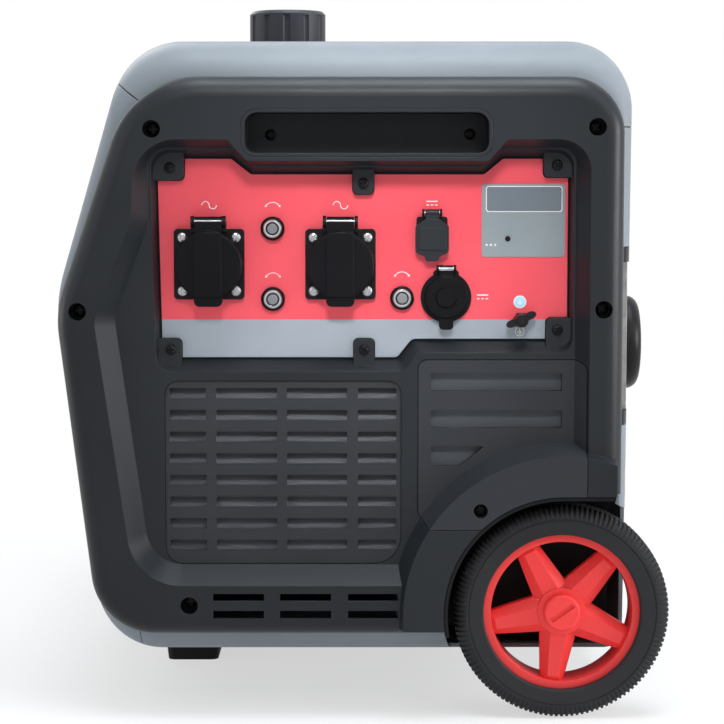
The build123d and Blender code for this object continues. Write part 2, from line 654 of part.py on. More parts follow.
def rubber_foot(y):
    top = Pos(0, 0, CASE_BOTTOM_Z) * RectangleRounded(48, 62, 6)
    bottom = RectangleRounded(40, 54, 6)
    return Pos(FOOT_X, y, 0) * loft([bottom, top], ruled=True)


# Pull handle on the left end
def pull_handle():
    y = HANDLE_ARM_Y
    bend = 22
    bend_z = HANDLE_BAR_Z + bend
    handle = rod(HANDLE_X, HANDLE_BAR_Z, 6, bend - y, y - bend)
    for side in (-1, 1):
        section = Plane(origin=(HANDLE_X, side * y, bend_z), z_dir=(0, 0, 1)) * Circle(6)
        handle += revolve(section, Axis((HANDLE_X, side * (y - bend), bend_z), (-side, 0, 0)), 90)
        handle += post(HANDLE_X, side * y, 6, bend_z, HANDLE_Z - 6)
        handle += rod(HANDLE_X, HANDLE_Z, 10, side * y - 7, side * y + 7)
    for side in (-1, 1):
        handle -= rod(HANDLE_X, HANDLE_Z, 5 + RUNNING_FIT, side * y - 8, side * y + 8)
    return handle


def handle_grip():
    return rod(HANDLE_X, HANDLE_BAR_Z, 10, -70, 70) - rod(HANDLE_X, HANDLE_BAR_Z, 6, -80, 80)


# Engine, alternator and inverter
def crankcase():
    case = block(-80, 60, -100, 90, 105, 270)
    case = fillet(case.edges().filter_by(Axis.Y), 18)
    return case - rod(CRANK_X, CRANK_Z, CRANK_R + RUNNING_FIT, AHEAD, 300)


def cylinder():
    barrel = bar(25, CRANK_Z, 38, 60, 152)
    for i in range(8):
        fin = block(66 + 11 * i, 69 + 11 * i, -28, 78, CRANK_Z - 50, CRANK_Z + 50)
        barrel += fillet(fin.edges().filter_by(Axis.X), 14)
    return barrel


def rocker_cover():
    cover = block(152, 178, -15, 65, CRANK_Z - 38, CRANK_Z + 38)
    return fillet(cover.edges().filter_by(Axis.X), 12)


def carburettor():
    return block(80, 112, 5, 45, CRANK_Z + 50, 288) + bar(25, 268, 14, 70, 124)


def air_filter_box():
    case = block(60, 160, -30, 110, 290, 385)
    return fillet(case.edges().filter_by(Axis.Z), 14)


def alternator_stator():
    core = rod(CRANK_X, CRANK_Z, 58, -165, -112) + rod(CRANK_X, CRANK_Z, 30, -112, -100)
    return core - rod(CRANK_X, CRANK_Z, 18, AHEAD, 0)


def alternator_rotor():
    cup = rod(CRANK_X, CRANK_Z, 76, -190, -116) - rod(CRANK_X, CRANK_Z, 62, -180, -100)
    return cup - rod(CRANK_X, CRANK_Z, CRANK_R, AHEAD, 0)


def crankshaft():
    return rod(CRANK_X, CRANK_Z, CRANK_R, -222, 98)


def cooling_fan():
    fan = rod(CRANK_X, CRANK_Z, 86, -201, -196) + rod(CRANK_X, CRANK_Z, 22, -216, -196)
    for i in range(10):
        blade = Pos(52, -208, 0) * Box(62, 16, 3)
        fan += Pos(CRANK_X, 0, CRANK_Z) * Rot(0, 36 * i, 0) * blade
    return fan - rod(CRANK_X, CRANK_Z, CRANK_R, AHEAD, 0)


def recoil_starter():
    cup = cone(CRANK_X, CRANK_Z, 82, 70, 90, 140) - rod(CRANK_X, CRANK_Z, 62, 0, 132)
    for i in range(6):
        cup -= Pos(CRANK_X, 135, CRANK_Z) * Rot(0, 60 * i, 0) * Pos(42, 0, 0) * Box(26, 30, 9)
    return cup


def recoil_grip():
    grip = extrude(SlotOverall(96, 20), amount=9, both=True)
    grip = Pos(RECOIL_X, 275, RECOIL_Z) * Rot(90, 0, 0) * fillet(grip.edges(), 4)
    return grip + rod(RECOIL_X, RECOIL_Z, 7.4, 250, 270)


def inverter_module():
    module = block(-180, -130, -115, 115, 112, 225)
    for i in range(11):
        y = -105 + 21 * i
        module += block(-130, -112, y - 2, y + 2, 112, 225)
    for y in (-100, 100):
        module += block(-134, -122, y - 5, y + 5, CASE_BOTTOM_Z + WALL, 112)
    return module


def engine_mount(x, y):
    return Pos(x, y, 0) * (post(0, 0, 18, ENGINE_FLOOR_Z, 60) + post(0, 0, 12, 60, 105))


# Write every node
save("top_cover", top_cover())
save("left_end_cover", left_end_cover())
save("right_end_cover", right_end_cover())
save("base_tray", base_tray())
save("front_cover", front_skin - prism(outline(DOOR, 0.2), AHEAD, -240))
save("rear_cover", rear_cover())
save("front_grille", louvre_panel(FRONT_GRILLE, SLOT_TOP_Z, FRONT_ROWS, -0.3))
save("grip_cups", grip_cup(), rear(grip_cup()))
save("maintenance_door", maintenance_door())
save("control_panel", control_panel())
save("panel_screws", *[screw(x, z, 3.8, -PANEL_Y - 11, 2, 14) for x, z, *edges in PANEL_TABS])

front_screws = [screw(x, z, 5.2, -FACE_Y + 13, 2.5, 12) for x, z in COVER_HOLES]
cup_screws = [rod(x, z, 4, -244.5, -240.5) for x, z in GRIP_SCREWS]
door_screw = screw(*DOOR_SCREW, 4.4, -FENDER_Y + 6, 2, 12)
paired_screws = front_screws + cup_screws
save("cover_screws", *paired_screws, *[rear(s) for s in paired_screws], door_screw)

for side, place in SOCKETS.items():
    save(f"{side}_socket", socket(*place))
    save(f"{side}_socket_lid", socket_lid(*place))
socket_corners = [(x + a, z + b) for x, z in SOCKETS.values() for a in (-19, 19) for b in (-19, 19)]
save("socket_screws", *[rod(x, z, 3.7, -PLATE_Y - 6, -PLATE_Y - 4) for x, z in socket_corners])
socket_pins = [socket_pin(*place) for place in SOCKETS.values()]
small_half = SMALL_EAR_X + SMALL_EAR_T
small_pins = [bar(*pin, SMALL_PIN_R, x - small_half, x + small_half)
              for pin, x in ((USB_PIN, USB[0]), (DC_PIN, DC[0]))]
save("lid_hinge_pins", *socket_pins, *small_pins)
save("breaker_bezels", *[breaker_bezel(*place) for place in BREAKERS.values()])
for name, place in BREAKERS.items():
    save(f"{name}_breaker_button", breaker_button(*place))
save("usb_socket", usb_socket())
save("usb_cover", usb_cover())
save("dc_socket", dc_socket())
save("dc_cover", dc_cover())
save("earth_stud", earth_stud())
save("earth_wing_nut", earth_wing_nut())

save("filler_surround", filler_surround())
save("fuel_tank", fuel_tank())
save("fuel_cap", fuel_cap())
save("exhaust_bezel", exhaust_bezel())
save("heat_shield", heat_shield())
save("exhaust_outlet", exhaust_outlet())
save("muffler", muffler())

save("wheel_wells", wheel_well(), rear(wheel_well()))
save("axle", rod(WHEEL_X, WHEEL_R, AXLE_R, -267, 267))
save("axle_brackets", axle_bracket(), rear(axle_bracket()))
for side, place in (("front", lambda s: s), ("rear", rear)):
    save(f"{side}_tyre", place(tyre()))
    save(f"{side}_rim", place(rim()))
    save(f"{side}_hub_cap", place(hub_cap()))
save("rubber_feet", rubber_foot(-FOOT_Y), rubber_foot(FOOT_Y))

save("pull_handle", pull_handle())
save("handle_grip", handle_grip())
save("crankcase", crankcase())
save("cylinder", cylinder())
save("rocker_cover", rocker_cover())
save("carburettor", carburettor())
save("air_filter_box", air_filter_box())
save("alternator_stator", alternator_stator())
save("alternator_rotor", alternator_rotor())
save("crankshaft", crankshaft())
save("cooling_fan", cooling_fan())
save("recoil_starter", recoil_starter())
save("recoil_grip", recoil_grip())
save("inverter_module", inverter_module())
save("engine_mounts", *[engine_mount(x, y) for x in (-55, 35) for y in (-70, 60)])
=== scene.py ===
import math
import bpy
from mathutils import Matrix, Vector


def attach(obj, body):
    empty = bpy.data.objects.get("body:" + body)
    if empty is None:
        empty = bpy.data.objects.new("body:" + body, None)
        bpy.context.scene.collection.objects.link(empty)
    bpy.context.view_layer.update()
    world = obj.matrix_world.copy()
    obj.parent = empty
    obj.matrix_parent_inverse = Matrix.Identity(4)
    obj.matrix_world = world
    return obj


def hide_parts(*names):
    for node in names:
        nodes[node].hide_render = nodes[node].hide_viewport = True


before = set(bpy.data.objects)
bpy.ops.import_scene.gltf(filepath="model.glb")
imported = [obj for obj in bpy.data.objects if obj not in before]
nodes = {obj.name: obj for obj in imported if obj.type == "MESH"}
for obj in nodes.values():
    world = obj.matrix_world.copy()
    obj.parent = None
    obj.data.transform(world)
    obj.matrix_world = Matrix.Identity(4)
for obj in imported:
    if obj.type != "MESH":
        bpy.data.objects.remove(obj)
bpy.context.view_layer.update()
scene = bpy.context.scene
MM = 0.001

# Places on the machine, in millimetres
PANEL_FACE_Y = -254.0
BAND_TOP_Z = 285.0
LOUVRE_BACK_Y = -259.7
DOOR_SLOT_Y = -258.5
SOCKETS = [(-108.6, 324.6), (-15.3, 324.6)]
BREAKERS = [(-63.5, 349.9), (-63.4, 299.8), (28.5, 300.5)]
WHEEL = (142.6, 77.0)

# Camera at the photograph's angle: metres, degrees, and millimetres for the lens
CAMERA_PLACE = (0, -1.780, 0.3913)
CAMERA_PITCH = 5.12
SENSOR_WIDTH = 36
LENS = 106.56
camera_data = bpy.data.cameras.new("camera")
camera = bpy.data.objects.new("camera", camera_data)
scene.collection.objects.link(camera)
camera.location = CAMERA_PLACE
camera.rotation_euler = (math.radians(90 - CAMERA_PITCH), 0, 0)
camera_data.sensor_width = SENSOR_WIDTH
camera_data.lens = LENS
scene.camera = camera
scene.view_settings.view_transform = "Standard"

# Noise of the materials: features in a metre, and the detail where a second value is given
PLASTIC_DRIFT = 9
PLASTIC_GLOSS = (60, 5)
METAL_CLOUDS = (130, 6)
METAL_GLOSS = (220, 4)
LOWER_DRIFT = 14
UPPER_DRIFT = 12
SHEET_GLOSS = (40, 4)

# Depth of the grain and radius of the softened edges, in millimetres
PLASTIC_GRAIN = 0.06
METAL_GRAIN = 0.05
SHEET_GRAIN = 0.03
PLASTIC_EDGE = 0.7
METAL_EDGE = 0.4
SHEET_EDGE = 0.3
EDGE_SAMPLES = 4


# Materials
def link(tree, a, a_socket, b, b_socket):
    tree.links.new(a.outputs[a_socket], b.inputs[b_socket])


def new_material(name):
    material = bpy.data.materials.new(name)
    material.use_nodes = True
    return material, material.node_tree, material.node_tree.nodes["Principled BSDF"]


def noise(tree, scale, detail=3.0):
    """Noise in the machine's own coordinates; scale counts features in a metre."""
    place = tree.nodes.new("ShaderNodeTexCoord")
    texture = tree.nodes.new("ShaderNodeTexNoise")
    texture.inputs["Scale"].default_value = scale
    texture.inputs["Detail"].default_value = detail
    link(tree, place, "Object", texture, "Vector")
    return texture


def ramp(tree, source, low, high, start=0.3, end=0.7):
    """Colours between low and high over part of a noise's range."""
    node = tree.nodes.new("ShaderNodeValToRGB")
    node.color_ramp.elements[0].position = start
    node.color_ramp.elements[0].color = (*low, 1)
    node.color_ramp.elements[1].position = end
    node.color_ramp.elements[1].color = (*high, 1)
    link(tree, source, "Fac", node, "Fac")
    return node


def span(tree, source, socket, low, high):
    """Values between low and high, from a source that runs from 0 to 1."""
    node = tree.nodes.new("ShaderNodeMapRange")
    node.inputs["To Min"].default_value = low
    node.inputs["To Max"].default_value = high
    link(tree, source, socket, node, "Value")
    return node


def soft_edges(tree, radius):
    """Normals that round the sharp edges over."""
    node = tree.nodes.new("ShaderNodeBevel")
    node.samples = EDGE_SAMPLES
    node.inputs["Radius"].default_value = radius * MM
    return node


def bump(tree, bsdf, height, strength, depth, edge):
    """Grain from a noise, over softened edges."""
    node = tree.nodes.new("ShaderNodeBump")
    node.inputs["Strength"].default_value = strength
    node.inputs["Distance"].default_value = depth * MM
    link(tree, height, "Fac", node, "Height")
    link(tree, soft_edges(tree, edge), "Normal", node, "Normal")
    link(tree, node, "Normal", bsdf, "Normal")


def plastic(name, low, high, rough, grain=1500, strength=0.25, specular=0.3):
    """Moulded plastic with a fine grain, uneven gloss and a slight drift of colour."""
    material, tree, bsdf = new_material(name)
    link(tree, ramp(tree, noise(tree, PLASTIC_DRIFT), low, high), "Color", bsdf, "Base Color")
    link(tree, span(tree, noise(tree, *PLASTIC_GLOSS), "Fac", *rough), "Result", bsdf, "Roughness")
    bsdf.inputs["Specular IOR Level"].default_value = specular
    bump(tree, bsdf, noise(tree, grain), strength, PLASTIC_GRAIN, PLASTIC_EDGE)
    return material


def metal(name, low, high, rough, grain=900, strength=0.15):
    """Metal with cloudy tarnish and fine marks."""
    material, tree, bsdf = new_material(name)
    link(tree, ramp(tree, noise(tree, *METAL_CLOUDS), low, high), "Color", bsdf, "Base Color")
    link(tree, span(tree, noise(tree, *METAL_GLOSS), "Fac", *rough), "Result", bsdf, "Roughness")
    bsdf.inputs["Metallic"].default_value = 1.0
    bump(tree, bsdf, noise(tree, grain), strength, METAL_GRAIN, METAL_EDGE)
    return material


def two_tone(name, axis, limit, below, above, rough, grain, strength, specular):
    """Sheet or moulding with one colour below a limit along an axis and another above it."""
    material, tree, bsdf = new_material(name)
    place = tree.nodes.new("ShaderNodeTexCoord")
    split = tree.nodes.new("ShaderNodeSeparateXYZ")
    link(tree, place, "Object", split, "Vector")
    past = tree.nodes.new("ShaderNodeMath")
    past.operation = "GREATER_THAN"
    past.inputs[1].default_value = limit * MM
    link(tree, split, axis, past, "Value")
    mix = tree.nodes.new("ShaderNodeMixRGB")
    link(tree, past, "Value", mix, "Fac")
    link(tree, ramp(tree, noise(tree, LOWER_DRIFT), *below), "Color", mix, "Color1")
    link(tree, ramp(tree, noise(tree, UPPER_DRIFT), *above), "Color", mix, "Color2")
    link(tree, mix, "Color", bsdf, "Base Color")
    link(tree, span(tree, noise(tree, *SHEET_GLOSS), "Fac", *rough), "Result", bsdf, "Roughness")
    bsdf.inputs["Specular IOR Level"].default_value = specular
    bump(tree, bsdf, noise(tree, grain), strength, SHEET_GRAIN, SHEET_EDGE)
    return material


# Grain and gloss that several finishes share
MATT = {"grain": 1300, "strength": 0.3}
SMOOTH = {"grain": 1800, "strength": 0.15}
PRINT = {"rough": (0.42, 0.5), "grain": 2400, "strength": 0.05}
FOIL = {"rough": (0.36, 0.46), "grain": 2400, "strength": 0.06, "specular": 0.4}

SHELL = plastic("shell_grey", (0.182, 0.202, 0.226), (0.206, 0.228, 0.254),
                rough=(0.48, 0.6), specular=0.26)
COVER = plastic("cover_charcoal", (0.0112, 0.013, 0.016), (0.0155, 0.0178, 0.0214),
                rough=(0.34, 0.46), specular=0.2, **MATT)
CAP = plastic("cap_black", (0.033, 0.034, 0.042), (0.042, 0.043, 0.053),
              rough=(0.38, 0.5), specular=0.2, **MATT)
SOCKET = plastic("socket_black", (0.006, 0.006, 0.0068), (0.009, 0.009, 0.01),
                 rough=(0.34, 0.46), specular=0.1, **SMOOTH)
LID = plastic("lid_black", (0.0035, 0.0035, 0.0042), (0.0058, 0.0058, 0.0066),
              rough=(0.32, 0.44), specular=0.08, **SMOOTH)
BUTTON = plastic("button_grey", (0.15, 0.15, 0.16), (0.19, 0.19, 0.2), rough=(0.4, 0.5), strength=0.15)
RIM = plastic("rim_red", (0.78, 0.042, 0.042), (0.84, 0.054, 0.052),
              rough=(0.36, 0.48), grain=1100, strength=0.15, specular=0.25)
TYRE = plastic("tyre_rubber", (0.018, 0.018, 0.0195), (0.027, 0.027, 0.029),
               rough=(0.56, 0.72), grain=800, strength=0.4, specular=0.16)
RUBBER = plastic("soft_rubber", (0.012, 0.012, 0.013), (0.018, 0.018, 0.019),
                 rough=(0.6, 0.75), grain=900, strength=0.35, specular=0.16)
LINER = plastic("liner_black", (0.006, 0.006, 0.007), (0.01, 0.01, 0.011),
                rough=(0.55, 0.7), grain=900, strength=0.3, specular=0.12)
BLACK_STEEL = plastic("black_finish_steel", (0.007, 0.007, 0.008), (0.012, 0.012, 0.013),
                      rough=(0.3, 0.45), grain=900, strength=0.2, specular=0.14)
PRINT_WHITE = plastic("print_white", (0.82, 0.8, 0.8), (0.9, 0.88, 0.88), **PRINT)
PRINT_BLUE = plastic("print_blue", (0.33, 0.62, 0.79), (0.38, 0.68, 0.84), **PRINT)
PLATE_GREY = plastic("plate_grey", (0.21, 0.245, 0.265), (0.25, 0.285, 0.305), **FOIL)
PLATE_DARK = plastic("plate_dark", (0.125, 0.15, 0.175), (0.155, 0.18, 0.205), **FOIL)

BRIGHT = metal("bright_zinc", (0.35, 0.365, 0.38), (0.52, 0.54, 0.56), rough=(0.24, 0.4))
HEAT = metal("heat_steel", (0.24, 0.235, 0.23), (0.34, 0.335, 0.33),
             rough=(0.36, 0.52), grain=700, strength=0.25)
ALLOY = metal("cast_alloy", (0.17, 0.17, 0.17), (0.24, 0.24, 0.24),
              rough=(0.5, 0.66), grain=600, strength=0.5)
CORE = metal("core_steel", (0.1, 0.09, 0.08), (0.18, 0.16, 0.14),
             rough=(0.4, 0.6), grain=600, strength=0.3)

PLATE_BLACK = (0.0225, 0.0245, 0.029), (0.028, 0.03, 0.035)
# Painted highlight: the louvre blades are the same black plastic as the bars, drawn in this lighter grey
# for the top light they catch
LIT_BLADE_GREY = (0.115, 0.12, 0.135), (0.148, 0.153, 0.17)
# Painted light: the door's slot faces are the same black plastic as the door, drawn in this lighter grey
# for the light that falls on them
LIT_SLOT_GREY = (0.064, 0.069, 0.079), (0.078, 0.084, 0.095)
PANEL_GREY = (0.27, 0.3, 0.34), (0.31, 0.34, 0.38)
PANEL_RED = (0.72, 0.07, 0.094), (0.78, 0.084, 0.11)
# Faces deeper than DOOR_SLOT_Y take the lighter slot grey, painted light in the slots
DOOR = two_tone("door_black", "Y", DOOR_SLOT_Y, PLATE_BLACK, LIT_SLOT_GREY,
                rough=(0.36, 0.48), specular=0.18, **MATT)
# Faces deeper than LOUVRE_BACK_Y take the lighter blade grey, a painted highlight on the blades
GRILLE = two_tone("louvre_black", "Y", LOUVRE_BACK_Y, PLATE_BLACK, LIT_BLADE_GREY,
                  rough=(0.38, 0.5), specular=0.2, **MATT)
PANEL = two_tone("panel_sheet", "Z", BAND_TOP_Z, PANEL_GREY, PANEL_RED,
                 rough=(0.34, 0.44), grain=2600, strength=0.12, specular=0.35)

FINISHES = {
    SHELL: "top_cover left_end_cover right_end_cover base_tray",
    COVER: "front_cover rear_cover grip_cups usb_cover",
    DOOR: "maintenance_door",
    CAP: "filler_surround fuel_cap",
    GRILLE: "front_grille",
    PANEL: "control_panel",
    SOCKET: "left_socket right_socket breaker_bezels usb_socket dc_socket recoil_grip",
    LID: "left_socket_lid right_socket_lid dc_cover",
    BUTTON: "left_breaker_button centre_breaker_button dc_breaker_button",
    BRIGHT: "socket_screws lid_hinge_pins axle crankshaft",
    BLACK_STEEL: "panel_screws cover_screws exhaust_bezel exhaust_outlet pull_handle axle_brackets "
                 "earth_stud earth_wing_nut",
    HEAT: "heat_shield muffler",
    LINER: "wheel_wells fuel_tank air_filter_box cooling_fan",
    RIM: "front_rim rear_rim front_hub_cap rear_hub_cap",
    TYRE: "front_tyre rear_tyre",
    RUBBER: "rubber_feet handle_grip engine_mounts",
    ALLOY: "crankcase cylinder rocker_cover carburettor inverter_module recoil_starter",
    CORE: "alternator_stator alternator_rotor",
}
for finish, names in FINISHES.items():
    for name in names.split():
        mesh = nodes[name].data
        mesh.materials.clear()
        mesh.materials.append(finish)


# Mesh pieces, drawn in millimetres
def piece(name, body, material, shape, smooth=0.0):
    """A piece that rides on a body; edges sharper than the smooth angle in degrees stay sharp."""
    points, faces = shape
    mesh = bpy.data.meshes.new(name)
    mesh.from_pydata([(x * MM, y * MM, z * MM) for x, y, z in points], [], faces)
    mesh.validate()
    mesh.materials.append(material)
    if smooth:
        mesh.shade_smooth()
        mesh.set_sharp_from_angle(angle=math.radians(smooth))
    made = bpy.data.objects.new(name, mesh)
    scene.collection.objects.link(made)
    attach(made, body)
    return made


def joined(shapes):
    """One list of points and faces from several."""
    points = []
    faces = []
    for shape_points, shape_faces in shapes:
        start = len(points)
        points += shape_points
        faces += [[start + i for i in face] for face in shape_faces]
    return points, faces


def lathe(x, z, profile, segments):
    """Turned shape about a Y axis: its (radius, y) points run outwards over the front, then to the back."""
    points = []
    for i in range(segments):
        turn = 2 * math.pi * i / segments
        points += [(x + r * math.cos(turn), y, z + r * math.sin(turn)) for r, y in profile]
    rows = len(profile)
    faces = []
    for i in range(segments):
        a = i * rows
        b = (i + 1) % segments * rows
        faces += [[a + k, a + k + 1, b + k + 1, b + k] for k in range(rows - 1)]
    return points, faces


def slab(outline, front, back):
    """Flat plate over an X-Z outline that runs anticlockwise as seen from the front."""
    count = len(outline)
    points = [(x, front, z) for x, z in outline] + [(x, back, z) for x, z in outline]
    faces = [list(range(count)), list(range(2 * count - 1, count - 1, -1))]
    faces += [[i, i + count, (i + 1) % count + count, (i + 1) % count] for i in range(count)]
    return points, faces


# Floor, light and background, with sizes in metres
FLOOR_HALF = 8
FLOOR_DROP = 0.0002
FLOOR_DRIFT = 4
FLOOR_ROUGH = 0.8
FLOOR_PALE = (0.86, 0.86, 0.86), (0.9, 0.9, 0.9)
FADE_START = 0.3
FADE_END = 0.75
GLOW_NEAR = 0.6
WORLD_LIGHT = 0.25
WORLD_SEEN = 1.0


def seen_by_camera(tree):
    """One for rays from the camera, a mirror or a clear part, and nought for the light on things."""
    path = tree.nodes.new("ShaderNodeLightPath")
    either = tree.nodes.new("ShaderNodeMath")
    either.operation = "MAXIMUM"
    link(tree, path, "Is Camera Ray", either, 0)
    link(tree, path, "Is Glossy Ray", either, 1)
    seen = tree.nodes.new("ShaderNodeMath")
    seen.operation = "MAXIMUM"
    link(tree, either, "Value", seen, 0)
    link(tree, path, "Is Transmission Ray", seen, 1)
    return seen


floor_mesh = bpy.data.meshes.new("floor")
corners = [(-FLOOR_HALF, -FLOOR_HALF, 0), (FLOOR_HALF, -FLOOR_HALF, 0),
           (FLOOR_HALF, FLOOR_HALF, 0), (-FLOOR_HALF, FLOOR_HALF, 0)]
floor_mesh.from_pydata(corners, [], [[0, 1, 2, 3]])
floor = bpy.data.objects.new("floor", floor_mesh)
scene.collection.objects.link(floor)
floor.location.z = -FLOOR_DROP

# The floor's own shade near the machine runs out into plain white
floor_material, tree, floor_bsdf = new_material("pale_floor")
link(tree, ramp(tree, noise(tree, FLOOR_DRIFT), *FLOOR_PALE), "Color", floor_bsdf, "Base Color")
floor_bsdf.inputs["Roughness"].default_value = FLOOR_ROUGH
glow = tree.nodes.new("ShaderNodeEmission")
place = tree.nodes.new("ShaderNodeTexCoord")
reach = tree.nodes.new("ShaderNodeVectorMath")
reach.operation = "LENGTH"
link(tree, place, "Object", reach, "Vector")
fade = tree.nodes.new("ShaderNodeMapRange")
fade.inputs["From Min"].default_value = FADE_START
fade.inputs["From Max"].default_value = FADE_END
fade.inputs["To Min"].default_value = GLOW_NEAR
link(tree, reach, "Value", fade, "Value")
share = tree.nodes.new("ShaderNodeMath")
share.operation = "MULTIPLY"
link(tree, fade, "Result", share, 0)
link(tree, seen_by_camera(tree), "Value", share, 1)
blend = tree.nodes.new("ShaderNodeMixShader")
link(tree, share, "Value", blend, "Fac")
link(tree, floor_bsdf, "BSDF", blend, 1)
link(tree, glow, "Emission", blend, 2)
link(tree, blend, "Shader", tree.nodes["Material Output"], "Surface")
floor_mesh.materials.append(floor_material)

world = bpy.data.worlds.new("studio")
world.use_nodes = True
scene.world = world
tree = world.node_tree
background = tree.nodes["Background"]
strength = span(tree, seen_by_camera(tree), "Value", WORLD_LIGHT, WORLD_SEEN)
link(tree, strength, "Result", background, "Strength")
background.inputs["Color"].default_value = (1, 1, 1, 1)

MIDDLE = (0, 0, 0.25)
PANEL_MIDDLE = (0.02, -0.254, 0.33)
COOL = (0.86, 0.95, 1.0)


def soft_box(name, place, size, power, aim=MIDDLE, colour=(1, 1, 1), spread=180):
    lamp = bpy.data.lights.new(name, "AREA")
    lamp.shape = "SQUARE"
    lamp.size = size
    lamp.energy = power
    lamp.color = colour
    lamp.spread = math.radians(spread)
    made = bpy.data.objects.new(name, lamp)
    scene.collection.objects.link(made)
    made.location = place
    made.rotation_euler = (Vector(aim) - Vector(place)).to_track_quat("-Z", "Y").to_euler()


soft_box("top", (0.15, -0.4, 2.1), size=1.2, power=45, colour=COOL)
soft_box("key", (1.5, -1.5, 1.7), size=1.0, power=9)
soft_box("right", (1.8, -0.6, 0.5), size=0.6, power=23)
soft_box("fill", (-1.6, -1.2, 0.9), size=1.2, power=4)
soft_box("left", (-1.8, 0.1, 0.3), size=0.6, power=5)
soft_box("panel_light", (0.02, -1.2, 1.0), size=0.25, power=0.195, aim=PANEL_MIDDLE, spread=17)
soft_box("back", (-0.9, 1.7, 1.4), size=1.2, power=12)

# Tyres with fine ribs over the shoulders and grooves round the tread
RIBS = 128
RIB_DEPTH = 1.3
RIB_STEPS = ((0.0, 0), (0.42, 0), (0.52, 1), (0.9, 1))  # place along a rib's pitch, share of the cut there
TYRE_R = 77.0
TYRE_FRONT = 276.0
TYRE_BACK = 238.0
BEAD_R = 56.0
BEAD_WIDTH = 1
BEAD_DEPTH = 0.8
SHOULDER = 9.0
SHOULDER_TURNS = range(10, 91, 16)
SIDE_GROOVE = ((66.2, 0), (66.6, 0.5), (67.2, 0.5), (67.6, 0))  # radius, depth
TREAD_GROOVE_R = TYRE_R - 2
TREAD_GROOVE = (12.5, 13.0, 15.0, 15.5)  # distances from the side
TYRE_SMOOTH = 30


def tyre_section():
    """Half of the section, bead to mid-tread: radius, distance from the side, cut between the ribs."""
    half = [(BEAD_R, BEAD_DEPTH, 0), (BEAD_R + BEAD_WIDTH, 0, 0)]
    half += [(radius, depth, 0) for radius, depth in SIDE_GROOVE]
    for turn in SHOULDER_TURNS:
        angle = math.radians(turn)
        radius = TYRE_R - SHOULDER + SHOULDER * math.sin(angle)
        half.append((radius, SHOULDER * (1 - math.cos(angle)), RIB_DEPTH))
    start, floor_start, floor_end, end = TREAD_GROOVE
    half += [(TYRE_R, start, RIB_DEPTH), (TREAD_GROOVE_R, floor_start, 0)]
    half += [(TREAD_GROOVE_R, floor_end, 0), (TYRE_R, end, 0)]
    return half


def ribbed_tyre(front, back):
    half = tyre_section()
    middle = (front + back) / 2
    inward = 1 if back > front else -1
    section = [(r, front + inward * d, cut) for r, d, cut in half]
    section += [(r, 2 * middle - front - inward * d, cut) for r, d, cut in half[::-1]]
    points = []
    for rib in range(RIBS):
        for step, share in RIB_STEPS:
            turn = 2 * math.pi * (rib + step) / RIBS
            for r, y, cut in section:
                radius = r - cut * share
                points.append((WHEEL[0] + radius * math.cos(turn), y, WHEEL[1] + radius * math.sin(turn)))
    rows = len(section)
    columns = RIBS * len(RIB_STEPS)
    faces = []
    for i in range(columns):
        a = i * rows
        b = (i + 1) % columns * rows
        for k in range(rows):
            n = (k + 1) % rows
            faces.append([a + k, a + n, b + n, b + k] if inward > 0 else [a + k, b + k, b + n, a + n])
    return points, faces


shape = ribbed_tyre(-TYRE_FRONT, -TYRE_BACK)
front_tyre = piece("front_ribbed_tyre", "front_wheel", TYRE, shape, TYRE_SMOOTH)
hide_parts("front_tyre")
shape = ribbed_tyre(TYRE_FRONT, TYRE_BACK)
rear_tyre = piece("rear_ribbed_tyre", "rear_wheel", TYRE, shape, TYRE_SMOOTH)
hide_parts("rear_tyre")

# Screws with a cross recess
HEAD_DOME = ((0.35, 0.0), (0.7, 0.12), (0.93, 0.4), (1.0, 0.7), (1.0, 1.0))  # shares of radius and height
HEAD_SIDES = 32
HEAD_SMOOTH = 35
RECESS_LONG = 0.62
RECESS_THIN = 0.17
RECESS_DEEP = 0.6
RECESS_FRONT = -1
GOLDEN_TURN = 137.5

SOCKET_HEAD = (3.7, 2.0)  # radius and height, as for the other heads
SOCKET_HEAD_Y = -260
SOCKET_SCREW = 19
PANEL_HEAD = (3.8, 4.0)
PANEL_HEAD_Y = -263
PANEL_SPOTS = [(-136, 393), (138, 395), (-136, 264), (139, 278), (1, 382), (1.5, 264)]
COVER_HEAD = (5.2, 4.0)
COVER_HEAD_Y = 267
COVER_SPOTS = [(-146.9, 419.7), (164.2, 421.1), (-199.9, 292.1), (169.7, 293.5), (-122.8, 83.0)]
CUP_HEAD = (4.0, 4.0)
CUP_HEAD_Y = 244.5
CUP_SPOTS = [(-65.2, 416.2), (77.0, 416.8)]
DOOR_HEAD = (4.4, 4.0)
DOOR_HEAD_PLACE = (83.6, -282, 152.1)
DOOR_HEAD_TURN = 20


def temporary(points, faces):
    """An object that is there only while a head is cut."""
    mesh = bpy.data.meshes.new("temporary")
    mesh.from_pydata(points, [], faces)
    made = bpy.data.objects.new("temporary", mesh)
    scene.collection.objects.link(made)
    return made


